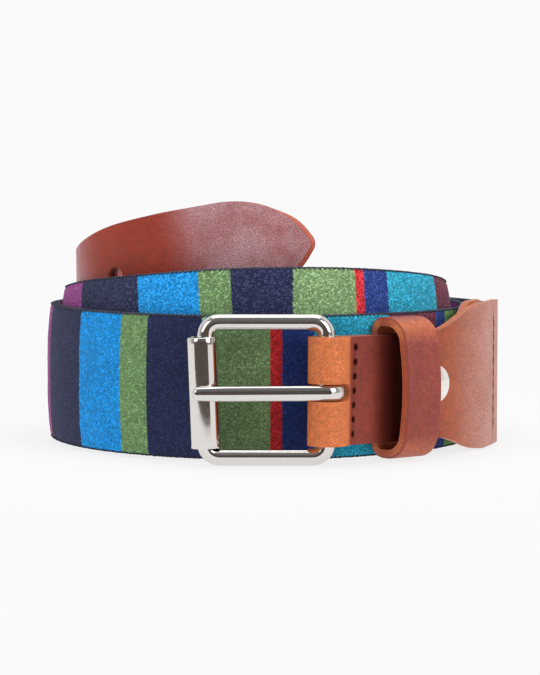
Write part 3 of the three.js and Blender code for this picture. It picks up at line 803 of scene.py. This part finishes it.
# the strap with the point and the holes
print("pointed leather")
tip = {
    "layer": 1.5, "skived": 1.8, "half": 14, "flareHalf": 19.8, "flareLength": 24, "pocketLength": 12,
    "parting": 8, "pocket": 1.6, "touch": 0.03, "point": 25, "nose": 2.4, "noseLength": 1.2,
    "noseHalf": 0.25, "gaps": [0.85, 0.6, 0.4], "rows": 34, "round": 0.45, "startTurn": 787,
    # the hole wall value and the next line set painted shade on the holes' walls and painted sheen at the
    # point and behind the coil
    "endTurn": 1001.5, "firstHole": 59.6, "holePitch": 25, "holes": 5, "holeRadius": 2.8, "holeWallShade": -0.9,
    "holeRim": 0.1, "pointSheen": 0.9, "pointPart": (23, 43), "pointSlant": 0.12, "backSheen": 0.8,
    "backPart": (62, 84), "fade": 0.4, "fadePart": (92, 125), "finePart": 6,
}
tipPath = layPath(coilRows, tip["startTurn"], tip["endTurn"])
tipLength = tipPath["length"]
tipHoles = [tipLength - tip["firstHole"] - i * tip["holePitch"] for i in range(tip["holes"])]


def tipHalfAt(along):
    left = max(tipLength - along, 0)
    body = tip["half"]
    if left < tip["point"]:
        ogive = tip["half"] * (1 - (1 - left / tip["point"]) ** 2) ** 0.75
        nose = (2 * tip["nose"] * min(left, tip["noseLength"])) ** 0.5
        body = max(ogive, nose, tip["noseHalf"])
    flare = 1 - smooth(tip["pocketLength"], tip["pocketLength"] + tip["flareLength"], along)
    return body + (tip["flareHalf"] - tip["half"]) * flare


def placeTip(sign):
    def place(flat):
        opened = 1 - smooth(tip["pocketLength"], tip["pocketLength"] + tip["parting"], flat.x)
        inner = tip["touch"] + (tip["pocket"] - tip["touch"]) * opened
        layer = tip["layer"] + (tip["skived"] - tab["pressed"] - tip["layer"]) * opened
        out = sign * (inner + layer * flat.z / tip["layer"])
        return placeOn(tipPath, flat.x, flat.y, out, tipHalfAt(flat.x))
    return place


# painted sheen at the point and behind the coil, fading further on, and painted shade on the holes' walls
def tipSheenAndShade(flat):
    left = tipLength - flat.x
    fromHole = min(Vector((flat.x - hole, flat.y)).length for hole in tipHoles)
    if fromHole < tip["holeRadius"] + tip["holeRim"] and flat.z < tip["layer"] - tip["holeRim"]:
        return tip["holeWallShade"]
    onPoint = 1 - smooth(*tip["pointPart"], left - tip["pointSlant"] * flat.y)
    onBack = tip["backSheen"] * smooth(*tip["backPart"], left)
    return max(tip["pointSheen"] * onPoint, onBack - tip["fade"] * smooth(*tip["fadePart"], left))


tipBorders = [0] + [tipLength - tip[part] for part in ("point", "finePart", "noseLength")]
tipColumns = evenColumns(tipBorders, tip["gaps"])
tipColumns += [tipLength - left for left in (0.85, 0.55, 0.3, 0.13, 0.03, 0)]
# the sheen colour is painted sheen
tipLook = {
    "base": "a4331a", "deep": "952f18", "bright": "a9492a", "sheenColor": "b8949a", "edge": "b9482b",
    "line": "6d1f16", "rim": "6d1f16", "thickness": tip["layer"], "speckle": 0.3, "drift": 0.8,
    "bump": 0.3,
}
tipStitches = {**flareStitches, "at": 4.2}
tipMaterial = leatherMaterial("waxed_leather_tip", tipLook, (tipStitches,))
for leafName, sign in (("outer", 1), ("inner", -1)):
    leaf = flatStrip(tipColumns, tip["rows"], tipHalfAt)
    for hole in tipHoles:
        cutOpening(leaf, hole, 0, tip["holeRadius"])
    thicken(leaf, tip["layer"], tip["round"])
    finishPiece(
        leaf, f"tip_tab_{leafName}", placeTip(sign), "tip_tab", "tip_leather", "belt", tipMaterial,
        mirrored=sign < 0, wax=tipSheenAndShade,
    )

# the loop beside the buckle
print("keeper")
keeper = {
    "turn": -58.2, "reach": 1.4, "depth": 13.2, "height": 37.1, "middle": 19.1, "width": 11.4,
    "leather": 2.3, "slip": 0.089, "frontCorner": 7, "backCorner": 4.2, "bulge": 1, "rows": 14,
    "round": 0.55, "gap": 0.75, "seam": 0.12, "cornerBend": 1.4, "lowShare": 0.55, "mostBend": 0.85,
}
keeperCentre, keeperForward, keeperOut, _, _ = stationAt(seamRows, keeper["turn"])
keeperCentre = keeperCentre + keeperOut * keeper["reach"]
keeperCentre.z = keeper["middle"]
keeperForward = Vector((keeperForward.x, keeperForward.y, 0)).normalized()
halfDepth, halfHeight = keeper["depth"] / 2 - keeper["leather"], keeper["height"] / 2 - keeper["leather"]
frontRadius = keeper["frontCorner"] - keeper["leather"]
backRadius = keeper["backCorner"] - keeper["leather"]
# the inside of the loop, from the middle of its back and round the bottom
backRun, frontRun = halfHeight - backRadius, 2 * (halfHeight - frontRadius)
bottomRun = 2 * halfDepth - frontRadius - backRadius
loopRuns = [
    (backRun, backRadius), (bottomRun, frontRadius), (frontRun, frontRadius), (bottomRun, backRadius),
    (backRun, 0),
]
loopLength = lengthOf(loopRuns)


def loopAt(along):
    point, heading = walkAlong(loopRuns, Vector((-halfDepth, 0)), -pi / 2, along)
    return point, Vector((sin(heading), -cos(heading)))


def placeKeeper(flat):
    point, away = loopAt(flat.x)
    spot = point + away * flat.z
    if spot.x > 0:
        straightHalf = keeper["height"] / 2 - keeper["frontCorner"]
        spot.x += keeper["bulge"] * max(0, 1 - (spot.y / straightHalf) ** 2)
    slipped = spot.x * keeper["slip"] - flat.y
    return keeperCentre + keeperOut * spot.x + Vector((0, 0, spot.y)) + keeperForward * slipped


def keeperBend(flat):
    point, away = loopAt(flat.x)
    share = 1 if point.y > 0 else keeper["lowShare"]
    return min(1, min(abs(away.x), abs(away.y)) * keeper["cornerBend"] * share) * keeper["mostBend"]


keeperColumns = evenColumns([keeper["seam"] / 2, loopLength - keeper["seam"] / 2], [keeper["gap"]])
keeperMesh = flatStrip(keeperColumns, keeper["rows"], lambda x: keeper["width"] / 2)
thicken(keeperMesh, keeper["leather"], keeper["round"])
keeperLook = {
    "base": "944036", "deep": "86372d", "bright": "c66c45", "sheenColor": "b8908f", "edge": "b4573c",
    "rim": "8a3a2a", "thickness": keeper["leather"],
}
finishPiece(
    keeperMesh, "keeper_loop_leather", placeKeeper, "keeper_loop", "keeper_leather", "belt",
    leatherMaterial("waxed_leather_keeper", keeperLook), bend=keeperBend,
)

# the buckle's wire
print("buckle")
buckle = {
    "wire": 2.2, "width": 35.5, "height": 39.2, "corner": 3.5, "low": 0.1, "hingeX": 14.55, "y": -71,
    "steps": 168, "sides": 28,
}
buckleX = buckle["hingeX"] - buckle["width"] / 2 + buckle["wire"]
buckleMiddle = Vector((buckleX, buckle["y"], buckle["low"] + buckle["height"] / 2))
barX, barZ = buckle["width"] / 2 - buckle["wire"], buckle["height"] / 2 - buckle["wire"]
corner = buckle["corner"]
runX, runZ = 2 * (barX - corner), 2 * (barZ - corner)
frameRuns = [(runX / 2, corner), (runZ, corner), (runX, corner), (runZ, corner), (runX / 2, 0)]
frameLength = lengthOf(frameRuns)


def frameLineAt(t):
    point, _ = walkAlong(frameRuns, Vector((0, -barZ)), 0, (t % 1.0) * frameLength)
    return buckleMiddle + Vector((point.x, 0, point.y))


plateLook = {"bright": "e2deda", "dull": "dedad6", "roughness": 0.06}
frameMesh = tubeAlong(
    frameLineAt, Vector((0, 1, 0)), buckle["steps"], buckle["sides"],
    lambda t: (buckle["wire"], buckle["wire"]), ring=True,
)
finishPiece(
    frameMesh, "buckle_frame_wire", lambda point: point, "buckle_frame", "frame_metal", "buckle",
    nickelMaterial("nickel_frame", plateLook), sharp=60,
)

# roller: a rolled tube on the left bar, with turned-in lips
roller = {
    "outer": 3.95, "bore": 3.5, "length": 28.6, "middle": 19, "shift": 0.38, "tilt": 2.1, "lip": 0.25,
    "steps": 56, "shoulder": 2.0,
}
outer, bore, lip, half = roller["outer"], roller["bore"], roller["lip"], roller["length"] / 2
lowEnd = [
    (bore, lip - half), (bore + 0.1, -half), (outer - lip, -half), (outer - 0.07, 0.08 - half),
    (outer, lip - half), (outer, roller["shoulder"] - half),
]
highEnd = [(radius, -height) for radius, height in reversed(lowEnd)]
rollerMesh = lathe(lowEnd + highEnd, roller["steps"], closed=True)
rollerX = buckle["hingeX"] - buckle["width"] + 2 * buckle["wire"] - roller["shift"]


def placeRoller(point):
    x, z = rotate(point.x, point.z, roller["tilt"])
    return Vector((rollerX + x, buckle["y"] + point.y, roller["middle"] + z))


rollerLook = {"bright": "e3deda", "dull": "dfdad5", "roughness": 0.08}
finishPiece(
    rollerMesh, "roller_tube", placeRoller, "roller", "roller_metal", "roll",
    nickelMaterial("nickel_roller", rollerLook), sharp=50,
)

# prong: a flattened bar with its end bent round the right bar
prong = {
    "middle": 19.1, "width": 4, "thickness": 2.35, "reach": 34.6, "turn": 3.6, "eye": 3.7, "wrap": 262,
    "steps": 120, "sides": 24, "roundFront": 1.3, "roundBack": 1.0, "least": 0.02, "slim": 0.14,
    "slimRun": 9,
}
prongRun = prong["reach"] + prong["eye"] * radians(prong["wrap"])


def prongLineAt(t):
    past = t * prongRun - prong["reach"]
    if past < 0:
        point = Vector((past, -prong["eye"]))
    else:
        angle = past / prong["eye"]
        point = Vector((sin(angle), -cos(angle))) * prong["eye"]
    x, y = rotate(point.x, point.y, prong["turn"])
    return Vector((buckle["hingeX"] + x, buckle["y"] + y, prong["middle"]))


def prongSection(t):
    run = t * prongRun
    rounded = min(run / prong["roundFront"], (prongRun - run) / prong["roundBack"])
    end = min(1, max(prong["least"], rounded))
    full = (1 - (1 - end) ** 2) ** 0.5 * (1 - prong["slim"] * (1 - smooth(0, prong["slimRun"], run)))
    return prong["width"] / 2 * full, prong["thickness"] / 2 * full


prongMesh = tubeAlong(prongLineAt, Vector((0, 0, 1)), prong["steps"], prong["sides"], prongSection)
finishPiece(
    prongMesh, "prong_bar", lambda point: point, "prong", "prong_metal", "tongue",
    nickelMaterial("nickel_prong", plateLook), sharp=60,
)

# the rivet with a domed cap
stud = {
    "cap": 5.2, "rise": 2.0, "rim": 0.35, "post": 1.6, "back": 3, "backThickness": 0.9, "edge": 0.3,
    "steps": 48, "base": 2.65, "capEdge": 0.15, "domeSteps": 10,
}
low, base = -stud["base"] - stud["backThickness"], stud["base"]
cap, back, edge = stud["cap"], stud["back"], stud["edge"]
studOutline = [
    (0, low), (back - edge, low), (back, low + edge), (back, -base), (stud["post"], -base),
    (stud["post"], base), (cap - stud["capEdge"], base), (cap, base + stud["capEdge"]),
]
for i in range(1, stud["domeSteps"]):
    angle = i * pi / 2 / stud["domeSteps"]
    rise = stud["rim"] + (stud["rise"] - stud["rim"]) * sin(angle)
    studOutline.append((cap * cos(angle), base + rise))
studOutline.append((0, base + stud["rise"]))
studMesh = lathe(studOutline, stud["steps"])
studCentre, studForward, studOut, studUp, _ = studStation
studCentre = Vector((studCentre.x, studCentre.y, tab["studHeight"]))
studLook = {"bright": "f6eee8", "dull": "ece4dd", "roughness": 0.12}


def placeStud(point):
    return studCentre + studForward * point.x + studUp * point.y + studOut * point.z


finishPiece(
    studMesh, "stud_cap", placeStud, "stud", "stud_metal", "belt",
    nickelMaterial("nickel_stud", studLook), sharp=50,
)

# floor, lights and camera
print("studio")
studio = {
    "white": 0.955, "lens": 137.6, "fadeStart": 0.078, "fadeEnd": 0.16, "glow": 0.82, "lift": 0.005,
    "floorDrop": 0.0001, "floorHalf": 4, "sensor": 36, "clipStart": 0.05,
    "cameraPlace": (-0.0001, -0.725, 0.0795), "cameraTilt": 85.987,
}


# white paper close by, whose tooth is drawn coarser than it is, at 1.1 mm, and which fades into an even
# white further out
def floorMaterial():
    material, node, shader = newMaterial("pale_floor")
    place = node("TexCoord", output="Object")
    tooth = node("TexNoise", (place, 900.0, 2.0))
    paper = node("ValToRGB", (tooth,), stops=[(0.3, fromHex("f5f4f5")), (0.7, fromHex("f9f8f9"))])
    fillInputs(shader, {"Base Color": paper, "Roughness": 0.9, "Specular IOR Level": 0.1})
    away = node("VectorMath", (place,), "LENGTH", output="Value")
    past = node("Math", (away, studio["fadeStart"]), "SUBTRACT")
    span = studio["fadeEnd"] - studio["fadeStart"]
    fade = node("Math", (past, span), "DIVIDE", use_clamp=True)
    strength = node("Math", (fade, -studio["lift"], 1 + studio["lift"]), "MULTIPLY_ADD")
    share = node("Math", (fade, 1 - studio["glow"], studio["glow"]), "MULTIPLY_ADD")
    glow = node("Emission", (grey(studio["white"]), strength))
    mixed = node("MixShader", (share, shader.outputs[0], glow))
    fillInputs(material.node_tree.nodes["Material Output"], {"Surface": mixed})
    return material


floorMesh = bmesh.new()
bmesh.ops.create_grid(floorMesh, x_segments=8, y_segments=8, size=studio["floorHalf"])
floor = makeObject(floorMesh, "floor", floorMaterial())
floor.location.z = -studio["floorDrop"]

# a dark card that only shows in reflections, as metal is lit in a studio
darkCard = {"x": (-0.177, 0.0605), "y": -0.15, "z": (0.0025, 0.05), "color": "574c46"}
cardMaterial, _, cardShader = newMaterial("dark_card")
fillInputs(cardShader, {"Base Color": fromHex(darkCard["color"]), "Roughness": 0.9})
cardMesh = bmesh.new()
bmesh.ops.create_grid(cardMesh, x_segments=1, y_segments=1, size=0.5)
(left, right), (bottom, top) = darkCard["x"], darkCard["z"]
for vert in cardMesh.verts:
    x, z = left + (right - left) * (vert.co.x + 0.5), bottom + (top - bottom) * (vert.co.y + 0.5)
    vert.co = (x, darkCard["y"], z)
card = makeObject(cardMesh, "dark_card", cardMaterial)
card.visible_camera = card.visible_diffuse = card.visible_shadow = False

# three soft boxes
for name, place, target, size, power in (
    ("left_box", (-0.75, -0.7, 0.5), (0, 0, 0.03), (0.5, 0.7), 2.8),
    ("right_box", (0.7, -0.75, 0.5), (0, 0, 0.03), (0.5, 0.7), 5.6),
    ("top_box", (0, 0, 1.1), (0, 0, 0), (0.9, 0.9), 5.0),
):
    data = bpy.data.lights.new(name, "AREA")
    data.shape = "RECTANGLE"
    data.size, data.size_y = size
    data.energy = power
    light = bpy.data.objects.new(name, data)
    light.location = place
    light.rotation_euler = (Vector(target) - Vector(place)).to_track_quat("-Z", "Y").to_euler()
    scene.collection.objects.link(light)

# an even white behind the object; the room itself is bright at the back and dim behind the camera
world = bpy.data.worlds.new("studio")
scene.world = world
world.use_nodes = True
roomNode = partial(addNode, world.node_tree)
_, towards, _ = roomNode("SeparateXYZ", (roomNode("TexCoord", output="Generated"),), output=None)
towards = roomNode("Math", (towards, 0.5, 0.5), "MULTIPLY_ADD")
room = roomNode("ValToRGB", (towards,), stops=[(0.05, 0.15), (0.35, 0.3), (0.62, 0.85), (1.0, 0.955)])
seen = roomNode("LightPath", output="Is Camera Ray")
white = (studio["white"], studio["white"], studio["white"] * 1.002, 1.0)
fillInputs(world.node_tree.nodes["Background"], {"Color": roomNode("Mix", (seen, room, white), **cover)})
scene.view_settings.view_transform = "Standard"

cameraData = bpy.data.cameras.new("camera")
cameraData.sensor_width = studio["sensor"]
cameraData.lens = studio["lens"]
cameraData.clip_start = studio["clipStart"]
camera = bpy.data.objects.new("camera", cameraData)
camera.location = studio["cameraPlace"]
camera.rotation_euler = (radians(studio["cameraTilt"]), 0, 0)
scene.collection.objects.link(camera)
scene.camera = camera
